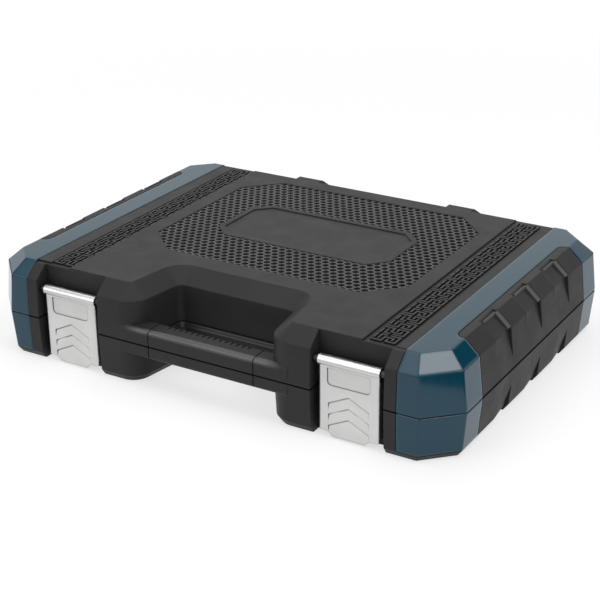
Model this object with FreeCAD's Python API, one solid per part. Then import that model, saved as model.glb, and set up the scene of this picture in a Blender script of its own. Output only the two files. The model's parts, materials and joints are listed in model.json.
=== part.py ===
import FreeCAD, Part
import math
import os
from FreeCAD import Vector

# Socket wrench set in a two-part moulded carrying case, in millimetres.
# The case lies flat on its base: +X right seen from the handle, -Y front, +Z up.
# Everything is modelled about the middle of the moulded walls and moved on saving,
# so that the origin ends up under the middle of the whole object.

# Case: overall sizes
CASE_WIDTH = 390.0
CASE_DEPTH = 280.0
LID_HEIGHT = 40.7
BASE_HEIGHT = 34.3
WALL = 4.0
FLOOR = 3.0
PARTING_GAP = 0.4
RIM_EDGE = 0.4

# Case: shape of the walls
CORNER_CUT = 23.0
SHOULDER_DROP = 10.3
SHOULDER_INSET = (3.5, 1.0)
TOP_INSET = (14.7, 13.0)
SHOULDER_CUT = 22.0
TOP_CUT = 15.7
SKIRT_HEIGHT = 5.1
SKIRT_INSET = (2.6, 1.4)
SKIRT_CUT = 22.5
FOOT_INSET = (6.5, 5.0)
FOOT_CUT = 20.5

# Handle recess in the front wall and the grip bar across it
RECESS_DEPTH = 48.2
RECESS_HALF = 48.9
RECESS_SLANT = 0.142
RECESS_FRONT_R = 18.0
RECESS_BACK_R = 5.0
RECESS_BEVEL = 13.5
GRIP_DEPTH = 19.0
GRIP_ABOVE = 12.6
GRIP_BELOW = 9.9
GRIP_ROUND = 3.0
GRIP_REAR_ROUND = 6.0
GRIP_END = 72.0
GRIP_LINE_X = 44.0
GRIP_LINE = 0.8
GRIP_LINE_DEEP = 0.5
GROOVE_COUNT = 15
GROOVE_PITCH = 4.8
GROOVE_WIDE = 1.2
GROOVE_LONG = 8.0
GROOVE_DROP = 4.5

# Lid top: lower strips for the tread, knurled field and the bare raised plate in it
STRIP_INNER = 122.5
STRIP_DEEP = 1.3
FIELD_HALF = 109.5
FIELD_Y = (-60.3, 111.5)
FIELD_CUT = 26.0
FIELD_DEEP = 2.0
PLATE_HALF = 76.0
PLATE_Y = (-13.5, 61.0)
PLATE_CUT = 14.0
PLATE_RIM = 4.6
PLATE_DEEP = 0.8

# Glossy end caps and the black ribbed side panels between their arms
CAP_BORDER = 40.25
CAP_THICK = 2.0
CAP_GAP = 0.25
PANEL_HALF = 92.2
PANEL_TAB = 21.7
PANEL_TAB_R = 6.0
RIB_COUNT = 3
RIB_PITCH = 52.3
RIB_LAST = 64.0
RIB_RAMP = 24.2
RIB_DEEP = 2.8
RIB_NOTCH = 3.0
RIB_TOP_DEEP = 3.8
RIB_LID_TIP = 8.2
RIB_BASE_TIP = 11.8
RIB_FADE = 0.02
RIB_EDGE = 2.2
RIB_EDGE_DEEP = 1.3

# Hinges along the back edge
HINGE_X = 71.0
HINGE_WIDTH = 32.0
HINGE_KNUCKLE = 14.0
HINGE_R = 4.2
HINGE_OUT = 2.2
HINGE_PIN_R = 1.5
HINGE_RUN = 0.06
HINGE_CLEAR = 0.5
HINGE_SIDE_GAP = 0.4
BOSS_DROP = 0.8
BOSS_SHOULDER = 7.0
BOSS_BACK = 4.0
BOSS_END = 5.0
BOSS_ROUND = 2.0
KNUCKLE_WEB = 8.0

# Latches in their pockets
LATCH_X = 117.5
LATCH_WIDTH = 47.0
LATCH_SHEET = 1.2
LATCH_FOOT = 1.6
LATCH_PLANE = 3.5
BEAD_OUT = 1.2
BEND_R = 2.5
POCKET_WIDTH = 56.0
POCKET_DEEP = 13.0
PIVOT_BELOW_TOP = 18.0
PIN_R = 2.5
PIN_RUN = 0.06
PIN_SEAT = 2.5
PIN_FIT = 0.02
FLANGE_DEEP = 6.0
FLANGE_LOW = 8.0
FLANGE_HIGH = 6.0
TAB_HALF = 15.5
TAB_CHAMFER = 3.0
KEEPER_Z = 22.0
KEEPER_HIGH = 3.0
KEEPER_OUT = 4.0
KEEPER_HALF = 17.0
HOOK_GAP = 0.3
HOOK_HIGH = 3.0
HOOK_BITE = 1.2
STAMP_DEEP = 0.6
STAMP_HALF = 16.3
STAMP_Z = (40.0, 52.8)
STAMP_R = 3.0
CHEVRON_COUNT = 3
CHEVRON_PITCH = 8.5
CHEVRON_TOP = 34.2
CHEVRON_HALF = 15.5
CHEVRON_RISE = 7.6
CHEVRON_BAND = 5.0
CHEVRON_DEEP = 0.8

# Tool tray
TRAY_GAP = 7.0
TRAY_FRONT_GAP = 2.0
TRAY_CUT = 18.0
TRAY_EDGE = 4.0
DECK_Z = 33.0
DECK_THICK = 2.0
WELL_SIDES = 8
WELL_WALL = 1.5
WELL_CLEAR = 0.5
WELL_REST = 0.3
WELL_PITCH_GAP = 4.8
STAND_FLOOR = 12.5
LYING_LIFT = 1.0
DRIVE_ROOM = 2.0

# Rows of tools, by their middle lines
ROW_LARGE_Y = 102.0
ROW_MEDIUM_Y = 56.0
ROW_RATCHET_Y = 12.0
ROW_BAR_Y = -35.0
ROW_BITS_Y = -92.0

# Sockets; the nose radius is a share of the mouth size and a little more
SQUARE = 12.7
DRIVE_R = 11.0
SOCKET_LENGTH = 38.0
SOCKET_LENGTH_LARGE = 44.0
SOCKET_FIT = 0.3
NOSE_SHARE = 0.65
NOSE_MORE = 0.9
DRIVE_DEEP = 1.15
MOUTH_SHARE = 0.8
MOUTH_MORE = 2.0
MOUTH_LIMIT = 0.45
BORE_SHARE = 0.6
COLLAR = 0.5
LARGE_SIZES = (32, 30, 27, 24, 22, 21, 20, 19, 18, 17)
LONGER_FROM = 27
MEDIUM_SIZES = (16, 15, 14, 13, 12, 11, 10)
PLUG_SIZES = (21, 16)
PLUG_LENGTH = 65.0

# Extension bars, adapter and bit holder
TIP_LENGTH = 1.15
BAR_LENGTH = 250.0
SHORT_BAR_LENGTH = 75.0
BAR_HEAD_R = 11.5
BAR_HEAD_LENGTH = 30.0
BAR_SHAFT_R = 7.5
ADAPTER_LENGTH = 24.0
ADAPTER_R = 11.0
ADAPTER_SQUARE = 9.5
ADAPTER_FLOOR = 16.0
HOLDER_LENGTH = 34.0
HOLDER_R = 10.5
HOLDER_FLOOR = 12.0

# Bits
BIT_HEX = 8.0
BIT_LENGTH = 30.0
BIT_SHANK = 17.0
BIT_DEEP = 15.0
BIT_TIPS = ("hex", "star", "cross")
BIT_STAR = (0.55, 0.42)
BIT_BLADE = 0.3
BIT_PER_SIDE = 6
BIT_PITCH = 17.0
BIT_FIRST_X = 77.0
BIT_FIRST_SIZE = 4.0
BIT_SIZE_STEP = 0.5

# Ratchet: sizes, then shares of the head radius, then shares of the square, then clearances
HEAD_R = 18.0
HEAD_THICK = 16.0
HEAD_FLOOR = 2.6
HEAD_LIFT = 24.0
HANDLE_LENGTH = 234.0
HANDLE_GRIP_R = 14.5
HANDLE_GRIP_LENGTH = 118.0
COVER_THICK = 1.8
COVER_TAIL = 1.2
GEAR_SHARE = 0.66
GEAR_ROOT = 0.92
GEAR_TEETH = 24
PAWL_SHARE = 0.4
PAWL_WINGS = ((-0.8, 0.5), (-0.15, 0.9), (0.7, 0.5))
LEVER_PLACE = 0.42
LEVER_SHAFT = 0.1
LEVER_RISE = 0.4
LEVER_THICK = 3.0
THUMB_LONG = 1.9
THUMB_HALF = (2.2, 1.5)
SHANK_SHARE = 0.38
SHANK_BAR = 0.35
NECK_WIDE = 0.92
NECK_LONG = 2.3
COVER_SHARE = 0.85
STEM_SHARE = 0.72
BUTTON_SHARE = 0.26
BUTTON_DEEP = 0.6
BUTTON_RISE = 2.4
BUTTON_TRAVEL = 1.6
BUTTON_SPARE = 0.4
GEAR_RUN = 0.06
GEAR_CLEAR = 0.4
GEAR_END_GAP = 0.2
PAWL_CLEAR = 0.4
GRIP_SIDES = 8
GRIP_WAIST = 0.86
GRIP_COLLARS = (0.1, 0.28, 0.34, 0.9)
GRIP_CAP = 4.0

# Worked out from the sizes above
HALF_W = CASE_WIDTH / 2
HALF_D = CASE_DEPTH / 2
TOP_Z = BASE_HEIGHT + LID_HEIGHT
SHOULDER_Z = TOP_Z - SHOULDER_DROP
LID_RIM = BASE_HEIGHT + PARTING_GAP / 2
BASE_RIM = BASE_HEIGHT - PARTING_GAP / 2
FRONT_Y = -HALF_D
HINGE_Y = HALF_D + HINGE_OUT
HINGE_Z = BASE_HEIGHT
CASE_SHIFT = -(HINGE_OUT + HINGE_R) / 2
TRAY_INSET = WALL + TRAY_GAP
TRAY_FRONT = POCKET_DEEP + WALL + TRAY_FRONT_GAP
POCKET_BACK = FRONT_Y + POCKET_DEEP
PIVOT_Z = TOP_Z - PIVOT_BELOW_TOP
ROLL_R = PIN_R + PIN_RUN + LATCH_SHEET
LATCH_Y = FRONT_Y + LATCH_PLANE
PIVOT_Y = LATCH_Y + ROLL_R - BEAD_OUT
BIG = 1000.0
GEAR_R = HEAD_R * GEAR_SHARE
PAWL_R = HEAD_R * PAWL_SHARE
LEVER_X = GEAR_R + HEAD_R * LEVER_PLACE
LEVER_R = HEAD_R * LEVER_SHAFT
BAR_R = HEAD_R * SHANK_BAR
STEM_R = SQUARE * STEM_SHARE
BUTTON_R = SQUARE * BUTTON_SHARE
GRIP_X = HANDLE_LENGTH - HANDLE_GRIP_LENGTH
HANDLE_Z = HEAD_THICK / 2
COVER_Z = HEAD_THICK - COVER_THICK
GEAR_Z = (HEAD_FLOOR + GEAR_END_GAP, COVER_Z - GEAR_END_GAP)
DRIVE_Z = -SQUARE * TIP_LENGTH


# Shape helpers

def box(x0, x1, y0, y1, z0, z1):
    return Part.makeBox(x1 - x0, y1 - y0, z1 - z0, Vector(x0, y0, z0))


def cylinder(r, z0, z1, x=0.0, y=0.0):
    return Part.makeCylinder(r, z1 - z0, Vector(x, y, z0))


def cross_cylinder(r, x0, x1, y, z):
    return Part.makeCylinder(r, x1 - x0, Vector(x0, y, z), Vector(1, 0, 0))


def corner_arc(before, corner, after, r):
    """Start, middle and end of the arc of radius r that rounds one corner."""
    to_before = (before - corner).normalize()
    to_after = (after - corner).normalize()
    half = to_before.getAngle(to_after) / 2
    reach = r / math.tan(half)
    bisector = (to_before + to_after).normalize()
    middle = corner + bisector * (r / math.sin(half) - r)
    return corner + to_before * reach, middle, corner + to_after * reach


def rounded_wire(corners, place):
    """Closed wire through (u, v, radius) corners; place turns (u, v) into a point."""
    points = [place(u, v) for u, v, r in corners]
    ends = []
    edges = []
    for i, (u, v, r) in enumerate(corners):
        if r > 0:
            ends.append(corner_arc(points[i - 1], points[i], points[(i + 1) % len(points)], r))
        else:
            ends.append((points[i], None, points[i]))
    for i, (start, middle, end) in enumerate(ends):
        if middle is not None:
            edges.append(Part.Arc(start, middle, end).toShape())
        following = ends[(i + 1) % len(ends)][0]
        edges.append(Part.LineSegment(end, following).toShape())
    return Part.Wire(edges)


def flat_wire(corners, z):
    return rounded_wire(corners, lambda x, y: Vector(x, y, z))


def prism(corners, z0, z1):
    return Part.Face(flat_wire(corners, z0)).extrude(Vector(0, 0, z1 - z0))


def side_prism(corners, x0, x1):
    """Prism along X from (y, z, radius) corners."""
    wire = rounded_wire(corners, lambda y, z: Vector(x0, y, z))
    return Part.Face(wire).extrude(Vector(x1 - x0, 0, 0))


def front_prism(corners, y0, y1):
    """Prism along Y from (x, z, radius) corners."""
    wire = rounded_wire(corners, lambda x, z: Vector(x, y0, z))
    return Part.Face(wire).extrude(Vector(0, y1 - y0, 0))


def loft(levels):
    return Part.makeLoft([flat_wire(corners, z) for z, corners in levels], True, True)


def ngon(count, across_flats, z0, z1, x=0.0, y=0.0):
    r = across_flats / 2 / math.cos(math.pi / count)
    turn = math.pi / count
    corners = []
    for i in range(count):
        angle = turn + 2 * math.pi * i / count
        corners.append((x + r * math.cos(angle), y + r * math.sin(angle), 0))
    return prism(corners, z0, z1)


def star(count, outer, inner, z0, z1):
    corners = []
    for i in range(2 * count):
        r = inner if i % 2 else outer
        angle = math.pi * i / count
        corners.append((r * math.cos(angle), r * math.sin(angle), 0))
    return prism(corners, z0, z1)


def revolve(profile):
    """Solid of revolution about Z from (radius, z) points, closed along the axis."""
    points = [Vector(0, 0, profile[0][1])]
    points += [Vector(r, 0, z) for r, z in profile]
    points += [Vector(0, 0, profile[-1][1]), points[0]]
    return Part.Face(Part.makePolygon(points)).revolve(Vector(0, 0, 0), Vector(0, 0, 1), 360)


def mirrored(shape):
    return shape.mirror(Vector(0, 0, 0), Vector(1, 0, 0))


def both_sides(shape):
    return [shape, mirrored(shape)]


def joined(shape, others):
    return shape.fuse(others).removeSplitter()


def placed(shape, x, y, z):
    copy = shape.copy()
    copy.translate(Vector(x, y, z))
    return copy


def laid(shape):
    """A tool modelled along +Z, laid down along +X."""
    copy = shape.copy()
    copy.rotate(Vector(0, 0, 0), Vector(0, 1, 0), 90)
    return copy


def save(name, shapes):
    whole = Part.makeCompound(shapes) if isinstance(shapes, list) else shapes
    whole = whole.copy()
    whole.translate(Vector(0, CASE_SHIFT, 0))
    whole.exportStep("parts/" + name + ".step")


# Case outline

def outline(inset, cut, recess, front_r, back_r):
    """Plan of the case at one level: a rectangle with cut corners and the handle recess in front.

    inset holds the distances inside the largest outline at the sides, the front and the back.
    """
    half = HALF_W - inset[0]
    front = FRONT_Y + inset[1]
    rear = HALF_D - inset[2]
    back = FRONT_Y + RECESS_DEPTH + recess
    wide = RECESS_HALF + recess * (math.hypot(1, RECESS_SLANT) - RECESS_SLANT)
    mouth = wide + RECESS_SLANT * (back - front)
    right = [
        (wide, back, back_r),
        (mouth, front, front_r),
        (half - cut, front, 0),
        (half, front + cut, 0),
        (half, rear - cut, 0),
        (half - cut, rear, 0),
    ]
    left = [(-x, y, r) for x, y, r in reversed(right)]
    return right + left


def level(inset, cut, recess, thick):
    """Outline of one level, set in by thick all round; inset is at the sides and at front and back."""
    moved = (inset[0] + thick, inset[1] + thick, inset[1] + thick)
    shorter = cut - (2 - math.sqrt(2)) * thick
    bevel = recess + thick
    return outline(moved, shorter, bevel, RECESS_FRONT_R - bevel, RECESS_BACK_R + bevel)


def rim(z, thick, edge):
    """Levels of the rim where the halves meet: the edge at z is chamfered by edge, up or down."""
    sharp = (z + edge, level((0, 0), CORNER_CUT, 0, thick))
    return [(z, level((0, 0), CORNER_CUT, 0, thick + abs(edge))), sharp] if edge else [sharp]


def lid_form(thick, bottom, edge=0.0):
    """Outer form of the lid, set in by thick, down to the given height."""
    return loft(rim(bottom, thick, edge) + [
        (SHOULDER_Z - thick / 2, level(SHOULDER_INSET, SHOULDER_CUT, 0, thick)),
        (TOP_Z - thick, level(TOP_INSET, TOP_CUT, RECESS_BEVEL - thick / 2, thick / 2)),
    ])


def base_form(thick, top, bottom, edge=0.0):
    """Outer form of the base, set in by thick, up to the given height and down to the other."""
    return loft([
        (bottom, level(FOOT_INSET, FOOT_CUT, FOOT_INSET[1], thick)),
        (bottom + SKIRT_HEIGHT, level(SKIRT_INSET, SKIRT_CUT, SKIRT_INSET[1], thick)),
    ] + rim(top, thick, -edge)[::-1])


# Case regions that both halves share

def cap_region(grow, z0, z1):
    """Right end region of the glossy caps: outside the border line, without the side panel."""
    border = HALF_W - CAP_BORDER - grow
    tab = HALF_W - PANEL_TAB + grow
    half = PANEL_HALF - grow
    end = box(border, BIG, -BIG, BIG, z0, z1)
    panel = [(tab, -half, PANEL_TAB_R), (BIG + 1, -half, 0), (BIG + 1, half, 0), (tab, half, PANEL_TAB_R)]
    return end.cut(prism(panel, z0 - 1, z1 + 1))


def pocket(grow, z0, z1):
    half = POCKET_WIDTH / 2 + grow
    return box(LATCH_X - half, LATCH_X + half, -BIG, POCKET_BACK + grow, z0, z1)


def rib_cut(y0, y1, stations):
    """Ramped cut in a side panel; stations give height, wall place and the depths at both ends."""
    out = RIB_DEEP * 2
    levels = []
    for z, wall, first_deep, last_deep in stations:
        corners = [
            (wall - first_deep, y0, 0),
            (wall + out, y0, 0),
            (wall + out, y1, 0),
            (wall - last_deep, y1, 0),
        ]
        levels.append((z, corners))
    return loft(levels)


def rib_cuts(before, behind, stations):
    """The same cut at each side rib, reaching so far before and behind the rib's front edge."""
    edges = [RIB_LAST - i * RIB_PITCH for i in range(RIB_COUNT)]
    return [rib_cut(y - before, y + behind, stations) for y in edges]


def bar_section(z0, z1, rounds, inset):
    """Section of the grip bar, set in all round."""
    front = FRONT_Y + inset
    rear = FRONT_Y + GRIP_DEPTH - inset
    low_front, high_front, high_rear, low_rear = rounds
    return [
        (front, z0 + inset, low_front), (front, z1 - inset, high_front),
        (rear, z1 - inset, high_rear), (rear, z0 + inset, low_rear),
    ]


def bar_skin(z0, z1, rounds, deep, x0, x1):
    """Outer skin of a short length of the grip bar."""
    core = side_prism(bar_section(z0, z1, rounds, deep), x0 - 1, x1 + 1)
    return side_prism(bar_section(z0, z1, rounds, 0), x0, x1).cut(core)


def grip_bar(z0, z1, rounds):
    """One half of the grip bar, with a fine line round each end of the grip."""
    bar = side_prism(bar_section(z0, z1, rounds, 0), -GRIP_END, GRIP_END)
    line = bar_skin(z0, z1, rounds, GRIP_LINE_DEEP, GRIP_LINE_X, GRIP_LINE_X + GRIP_LINE)
    return bar.cut(both_sides(line))


def grip_grooves(top):
    """Row of fine finger grooves over the rear top edge of the grip bar."""
    rear = FRONT_Y + GRIP_DEPTH
    half = GROOVE_WIDE / 2
    wedge = [(rear - GROOVE_LONG, top, 0), (rear, top, 0), (rear, top - GROOVE_DROP, 0)]
    groove = side_prism(wedge, -half, half)
    middle = (GROOVE_COUNT - 1) / 2
    return [placed(groove, (i - middle) * GROOVE_PITCH, 0, 0) for i in range(GROOVE_COUNT)]


# Hinge geometry: one knuckle on the lid between two on the base

def lid_knuckle():
    half = HINGE_KNUCKLE / 2
    barrel = cross_cylinder(HINGE_R, HINGE_X - half, HINGE_X + half, HINGE_Y, HINGE_Z)
    back = HINGE_Y + HINGE_R / 2
    top = TOP_Z - BOSS_DROP
    corners = [
        (HALF_D - WALL / 2, LID_RIM, 0),
        (HINGE_Y, LID_RIM, 0),
        (back, LID_RIM + HINGE_R, 0),
        (back - HINGE_OUT, top - BOSS_SHOULDER, BOSS_ROUND),
        (HALF_D - BOSS_BACK, top, BOSS_ROUND),
        (HALF_D - TOP_INSET[1] - WALL / 2, top, 0),
    ]
    left, right = HINGE_X - HINGE_WIDTH / 2, HINGE_X + HINGE_WIDTH / 2
    front_view = [(left, LID_RIM, 0), (right, LID_RIM, 0), (right, top - BOSS_END, 0),
                  (right - BOSS_END, top, 0), (left + BOSS_END, top, 0), (left, top - BOSS_END, 0)]
    boss = side_prism(corners, left, right).common(front_prism(front_view, 0, BIG))
    for x0, x1 in base_knuckle_spans(HINGE_SIDE_GAP):
        boss = boss.cut(box(x0, x1, HALF_D, BIG, LID_RIM - 1, HINGE_Z + HINGE_R + HINGE_CLEAR))
    return boss.fuse(barrel)


def base_knuckle_spans(grow):
    half = HINGE_KNUCKLE / 2 + HINGE_SIDE_GAP - grow
    wide = HINGE_WIDTH / 2 + grow
    return [(HINGE_X - wide, HINGE_X - half), (HINGE_X + half, HINGE_X + wide)]


def base_knuckles():
    knuckles = []
    for x0, x1 in base_knuckle_spans(0):
        corners = [
            (HALF_D - WALL / 2, BASE_RIM - KNUCKLE_WEB, 0),
            (HINGE_Y + HINGE_R / 2, HINGE_Z - HINGE_R / 2, 0),
            (HINGE_Y, HINGE_Z, 0),
            (HALF_D - WALL / 2, BASE_RIM, 0),
        ]
        web = side_prism(corners, x0, x1)
        knuckles.append(web.fuse(cross_cylinder(HINGE_R, x0, x1, HINGE_Y, HINGE_Z)))
    return knuckles


def hinge_relief(x0, x1):
    return cross_cylinder(HINGE_R + HINGE_CLEAR, x0, x1, HINGE_Y, HINGE_Z)


def hinge_bore(r):
    return cross_cylinder(r, HINGE_X - HINGE_WIDTH, HINGE_X + HINGE_WIDTH, HINGE_Y, HINGE_Z)


# Lid

def octagon(half, y_range, cut, grow=0.0):
    x = half + grow
    low = y_range[0] - grow
    high = y_range[1] + grow
    k = cut + (2 - math.sqrt(2)) * grow
    right = [(x - k, low, 0), (x, low + k, 0), (x, high - k, 0), (x - k, high, 0)]
    return right + [(-u, v, r) for u, v, r in reversed(right)]


def lid_top_cuts():
    strip = box(STRIP_INNER, HALF_W - CAP_BORDER, -BIG, BIG, TOP_Z - STRIP_DEEP, TOP_Z + 1)
    field = prism(octagon(FIELD_HALF, FIELD_Y, FIELD_CUT), TOP_Z - FIELD_DEEP, TOP_Z + 1)
    plate = prism(octagon(PLATE_HALF, PLATE_Y, PLATE_CUT), TOP_Z - FIELD_DEEP - 1, TOP_Z + 2)
    face = prism(octagon(PLATE_HALF, PLATE_Y, PLATE_CUT, -PLATE_RIM), TOP_Z - PLATE_DEEP, TOP_Z + 1)
    return both_sides(strip) + [field.cut(plate), face]


def make_lid():
    outer = lid_form(0, LID_RIM, RIM_EDGE)
    region = cap_region(0, LID_RIM - 1, TOP_Z + 1)
    cap = outer.common(region).cut(lid_form(CAP_THICK, LID_RIM - 1))

    rebate = cap_region(CAP_GAP, LID_RIM - 1, TOP_Z + 1).cut(lid_form(CAP_THICK + CAP_GAP, LID_RIM - 2))
    lid = outer.cut(both_sides(rebate))
    grip_top = LID_RIM + GRIP_ABOVE
    lid = lid.fuse([grip_bar(LID_RIM, grip_top, (RIM_EDGE, GRIP_ROUND, GRIP_REAR_ROUND, 0))])
    lid = lid.fuse(both_sides(lid_knuckle()))

    hollow = lid_form(WALL, LID_RIM - 1).cut(both_sides(pocket(WALL, 0, TOP_Z + 1)))
    cuts = [hollow] + both_sides(pocket(0, 0, TOP_Z + 1)) + lid_top_cuts() + grip_grooves(grip_top)
    shoulder = HALF_W - SHOULDER_INSET[0]
    top = HALF_W - TOP_INSET[0]
    ramps = [
        (LID_RIM + RIB_LID_TIP, HALF_W - SHOULDER_INSET[0] / 4, RIB_FADE, RIB_FADE),
        (SHOULDER_Z, shoulder, RIB_FADE, RIB_DEEP),
        (TOP_Z, top, RIB_NOTCH, RIB_TOP_DEEP),
    ]
    edges = [(SHOULDER_Z, shoulder, RIB_EDGE_DEEP, RIB_FADE), (TOP_Z, top, RIB_EDGE_DEEP, RIB_FADE)]
    for cut in rib_cuts(RIB_RAMP, 0, ramps) + rib_cuts(RIB_FADE, RIB_EDGE, edges):
        cuts += both_sides(cut)
    for x0, x1 in base_knuckle_spans(HINGE_SIDE_GAP):
        cuts += both_sides(hinge_relief(x0, x1))
    bore = hinge_bore(HINGE_PIN_R + HINGE_RUN)
    seat = POCKET_WIDTH / 2 + PIN_SEAT
    hole = cross_cylinder(PIN_R + PIN_FIT, LATCH_X - seat, LATCH_X + seat, PIVOT_Y, PIVOT_Z)
    cuts += both_sides(bore) + both_sides(hole)
    save("lid_shell", lid.cut(cuts))
    save("lid_cap_right", cap)
    save("lid_cap_left", mirrored(cap))


# Base

def make_base():
    outer = base_form(0, BASE_RIM, 0, RIM_EDGE)
    region = cap_region(0, SKIRT_HEIGHT, BASE_RIM + 1)
    skin = outer.common(region).cut(base_form(CAP_THICK, BASE_RIM + 1, -1))
    front = skin.common(box(0, BIG, -BIG, 0, -1, TOP_Z))
    back = skin.common(box(0, BIG, 0, BIG, -1, TOP_Z))

    rebate = cap_region(CAP_GAP, SKIRT_HEIGHT - CAP_GAP, BASE_RIM + 1)
    rebate = rebate.cut(base_form(CAP_THICK + CAP_GAP, BASE_RIM + 2, -2))
    base = outer.cut(both_sides(rebate))
    base = base.fuse([grip_bar(BASE_RIM - GRIP_BELOW, BASE_RIM, (GRIP_ROUND, RIM_EDGE, 0, GRIP_REAR_ROUND))])
    knuckles = base_knuckles()
    base = base.fuse(knuckles + [mirrored(k) for k in knuckles])

    hollow = base_form(WALL, BASE_RIM + 1, FLOOR).cut(both_sides(pocket(WALL, -1, TOP_Z)))
    cuts = [hollow] + both_sides(pocket(0, -1, TOP_Z))
    stations = [
        (-0.5, HALF_W - FOOT_INSET[0], RIB_DEEP, RIB_DEEP),
        (SKIRT_HEIGHT, HALF_W - SKIRT_INSET[0], RIB_FADE, RIB_DEEP),
        (BASE_RIM - RIB_BASE_TIP, HALF_W - SKIRT_INSET[0] / 3, RIB_FADE, RIB_FADE),
    ]
    for cut in rib_cuts(RIB_RAMP, 0, stations):
        cuts += both_sides(cut)
    half = HINGE_KNUCKLE / 2 + HINGE_SIDE_GAP
    cuts += both_sides(hinge_relief(HINGE_X - half, HINGE_X + half))
    cuts += both_sides(hinge_bore(HINGE_PIN_R + PIN_FIT))
    keeper = box(LATCH_X - KEEPER_HALF, LATCH_X + KEEPER_HALF, POCKET_BACK - KEEPER_OUT, POCKET_BACK + 1,
                 KEEPER_Z, KEEPER_Z + KEEPER_HIGH)
    save("base_shell", joined(base.cut(cuts), both_sides(keeper)))
    for side, turn in (("right", lambda s: s), ("left", mirrored)):
        save("base_cap_front_" + side, turn(front))
        save("base_cap_back_" + side, turn(back))


# Hinge pins and latches

def make_hinge_pins():
    half = HINGE_WIDTH / 2
    pin = cross_cylinder(HINGE_PIN_R, HINGE_X - half, HINGE_X + half, HINGE_Y, HINGE_Z)
    save("hinge_pin_right", pin)
    save("hinge_pin_left", mirrored(pin))


def chevron(z):
    """One V-shaped stamping that points up: deepest along its upper edges, fading out downwards."""
    deep = LATCH_Y + CHEVRON_DEEP
    section = [Vector(0, LATCH_Y, z), Vector(0, deep, z), Vector(0, LATCH_Y, z - CHEVRON_BAND)]
    face = Part.Face(Part.makePolygon(section + section[:1]))
    return both_sides(face.extrude(Vector(CHEVRON_HALF, 0, -CHEVRON_RISE)))


def latch_plate():
    """Stamped latch: rolled top edge round its pin, folded sides, finger tab and inner hook."""
    half = LATCH_WIDTH / 2
    inner = LATCH_Y + LATCH_SHEET
    tab_top = FLANGE_LOW - TAB_CHAMFER
    right = [(TAB_HALF - TAB_CHAMFER, LATCH_FOOT, 0), (TAB_HALF, LATCH_FOOT + TAB_CHAMFER, 0),
             (TAB_HALF + TAB_CHAMFER, tab_top, 0), (half, tab_top, 0), (half, PIVOT_Z, 0)]
    left = [(-x, z, r) for x, z, r in reversed(right)]
    plate = front_prism(right + left, LATCH_Y, inner)
    flange_y = LATCH_Y + FLANGE_DEEP
    flange = box(half - LATCH_SHEET, half, LATCH_Y, flange_y, FLANGE_LOW, PIVOT_Z - FLANGE_HIGH)
    bends = [(-half, LATCH_Y, BEND_R), (half, LATCH_Y, BEND_R), (half, flange_y, 0), (-half, flange_y, 0)]
    sheet = joined(plate, both_sides(flange)).common(prism(bends, 0, TOP_Z))

    panel = [(-STAMP_HALF, STAMP_Z[0], STAMP_R), (STAMP_HALF, STAMP_Z[0], STAMP_R),
             (STAMP_HALF, STAMP_Z[1], 0), (-STAMP_HALF, STAMP_Z[1], 0)]
    stamped = [front_prism(panel, FRONT_Y, LATCH_Y + STAMP_DEEP)]
    for i in range(CHEVRON_COUNT):
        stamped += chevron(CHEVRON_TOP - i * CHEVRON_PITCH)
    sheet = sheet.cut(stamped)

    roll = cross_cylinder(ROLL_R, -half, half, PIVOT_Y, PIVOT_Z)
    hook_top = KEEPER_Z - HOOK_GAP
    reach = POCKET_BACK - KEEPER_OUT + HOOK_BITE
    hook = box(-KEEPER_HALF, KEEPER_HALF, inner - LATCH_SHEET / 4, reach, hook_top - HOOK_HIGH, hook_top)
    latch = joined(sheet, [roll, hook])
    return latch.cut(cross_cylinder(PIN_R + PIN_RUN, -half - 1, half + 1, PIVOT_Y, PIVOT_Z))


def make_latches():
    plate = latch_plate()
    reach = POCKET_WIDTH / 2 + PIN_SEAT
    pin = cross_cylinder(PIN_R, -reach, reach, PIVOT_Y, PIVOT_Z)
    for side, x in (("right", LATCH_X), ("left", -LATCH_X)):
        save("latch_plate_" + side, placed(plate, x, 0, 0))
        save("latch_pin_" + side, placed(pin, x, 0, 0))


# Tools, each modelled along +Z with its foot at z = 0

def square_hole(deep):
    return ngon(4, SQUARE + SOCKET_FIT, -1, deep)


def socket_body(size, length):
    """Socket with its mouth on top and its drive square below; returns the solid and its widest radius."""
    nose = NOSE_SHARE * size + NOSE_MORE
    if nose < DRIVE_R:
        step = length * COLLAR
        body = revolve([(DRIVE_R, 0), (DRIVE_R, step), (nose, step), (nose, length)])
    else:
        body = cylinder(nose, 0, length)
    deep = SQUARE * DRIVE_DEEP
    mouth_floor = length - min(length * MOUTH_LIMIT, size * MOUTH_SHARE + MOUTH_MORE)
    mouth = ngon(6, size + SOCKET_FIT, mouth_floor, length + 1)
    bore = ngon(6, size * BORE_SHARE, deep - 1, mouth_floor + 1)
    return body.cut([mouth, bore, square_hole(deep)]), max(DRIVE_R, nose)


def extension(length):
    """Extension bar: socket head at the foot and square drive at the far end of the shaft."""
    end = length - SQUARE * TIP_LENGTH
    step = BAR_HEAD_LENGTH
    body = revolve([(BAR_HEAD_R, 0), (BAR_HEAD_R, step), (BAR_SHAFT_R, step), (BAR_SHAFT_R, end)])
    return joined(body, [ngon(4, SQUARE - SOCKET_FIT, end - 1, length)]).cut(square_hole(SQUARE))


def adapter():
    tip_top = ADAPTER_LENGTH + ADAPTER_SQUARE * TIP_LENGTH
    tip = ngon(4, ADAPTER_SQUARE - SOCKET_FIT, ADAPTER_LENGTH - 1, tip_top)
    return joined(cylinder(ADAPTER_R, 0, ADAPTER_LENGTH), [tip]).cut(square_hole(SQUARE))


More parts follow.
